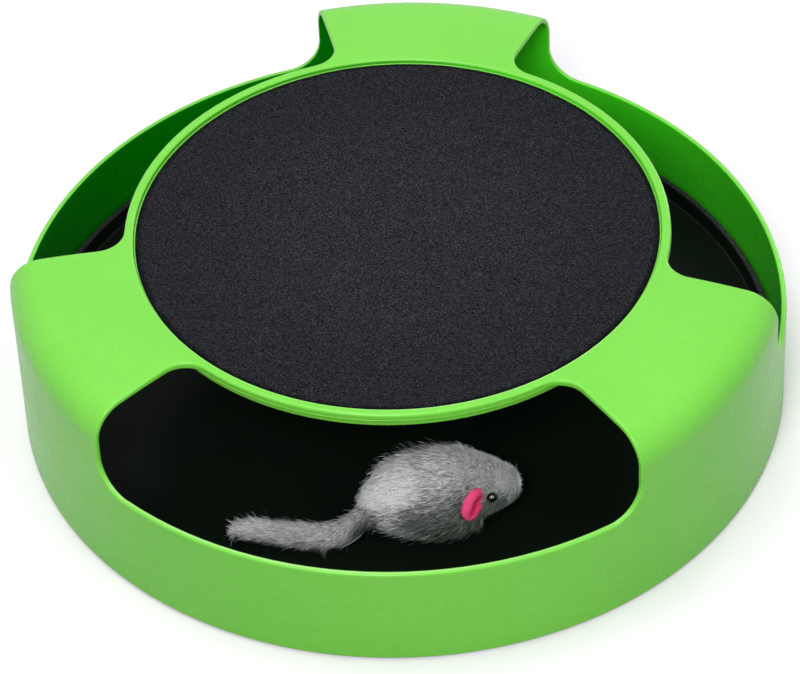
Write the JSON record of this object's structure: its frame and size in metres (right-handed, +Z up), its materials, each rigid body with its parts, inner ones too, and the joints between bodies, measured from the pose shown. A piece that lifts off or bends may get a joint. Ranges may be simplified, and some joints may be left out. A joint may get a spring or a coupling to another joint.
{
  "type": "cat track toy with scratcher",
  "caption": "Round cat toy: a plush mouse rides a free-spinning turntable inside a windowed plastic housing, under a felt scratch pad.",
  "frame": {"origin": "centre of the footprint, on the surface that the feet stand on", "axes": "+Z up along the turntable's axis; the window that shows the mouse at rest faces -Y"},
  "size_m": [0.25, 0.25, 0.0673],
  "materials": {
    "green_plastic": "satin moulded",
    "charcoal_felt": "needle-punched felt",
    "adhesive": "adhesive film",
    "tray_plastic": "fine texture",
    "black_plastic": "satin moulded",
    "white_plastic": "smooth",
    "steel": "zinc plated",
    "foot_rubber": "matte",
    "grey_fur": "short fur",
    "pink_felt": "felt",
    "black_bead": "polished"
  },
  "bodies": {
    "root": {"shell": "green_plastic", "scratch_pad": "charcoal_felt", "pad_adhesive": "adhesive", "base_tray": "tray_plastic", "thrust_washer": "white_plastic", "centre_washer": "steel", "centre_screw": "steel", "foot_1": "foot_rubber", "foot_2": "foot_rubber", "foot_3": "foot_rubber", "foot_4": "foot_rubber", "foot_5": "foot_rubber", "foot_6": "foot_rubber"},
    "turntable": {"turntable": "black_plastic", "mouse_screws": "steel", "mouse_core": "white_plastic", "mouse_body": "grey_fur", "mouse_head": "grey_fur", "mouse_tail": "grey_fur", "mouse_ear_left": "pink_felt", "mouse_ear_right": "pink_felt", "mouse_eye_left": "black_bead", "mouse_eye_right": "black_bead"}
  },
  "joints": [
    {"name": "turntable_spin", "type": "hinge", "parent": "root", "child": "turntable", "pos_m": [0, 0, 0.0125], "axis": [0, 0, 1], "continuous": true}
  ]
}
